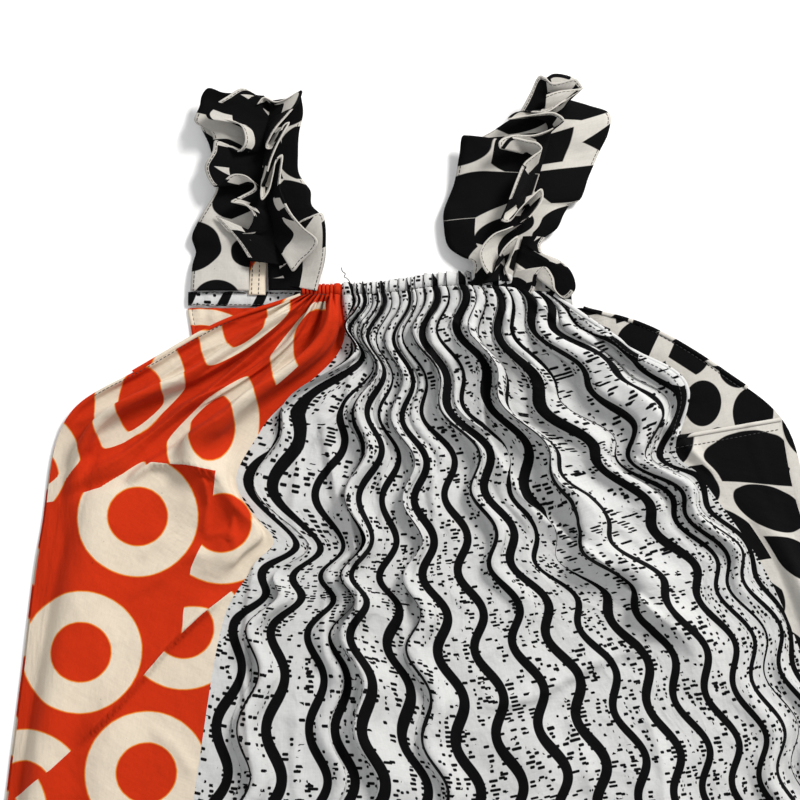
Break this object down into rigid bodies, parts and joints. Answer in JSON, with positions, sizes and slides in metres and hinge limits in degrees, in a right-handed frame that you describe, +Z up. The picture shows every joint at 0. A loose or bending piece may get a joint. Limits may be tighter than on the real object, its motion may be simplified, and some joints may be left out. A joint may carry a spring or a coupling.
{
  "type": "girl's mixed-print trapeze dress, laid flat",
  "caption": "Sleeveless cotton trapeze dress in mixed wax prints, gathered at the neck, with ruffled shoulder straps, laid flat.",
  "frame": {"origin": "centre of the bounding box on the surface that the dress lies on", "axes": "+Z up from the surface, +Y towards the neck and the shoulder straps, +X across the dress"},
  "size_m": [0.5838, 0.711, 0.0308],
  "materials": {
    "ring_cotton": "matt plain-weave cotton printed orange with cream rings",
    "wave_cotton": "matt plain-weave cotton, off-white printed with black waving lines and dashes",
    "block_cotton": "matt plain-weave cotton, cream printed with large black rounded shapes"
  },
  "bodies": {
    "root": {"front_left_panel": "ring_cotton", "front_center_panel": "wave_cotton", "front_right_panel": "block_cotton", "back_left_panel": "ring_cotton", "back_center_panel": "wave_cotton", "back_right_panel": "block_cotton", "front_casing_left": "ring_cotton", "front_casing": "wave_cotton", "back_casing": "wave_cotton", "left_ruffle": "block_cotton", "right_ruffle": "block_cotton", "left_strap_band": "ring_cotton", "right_strap_band": "ring_cotton"}
  },
  "joints": []
}
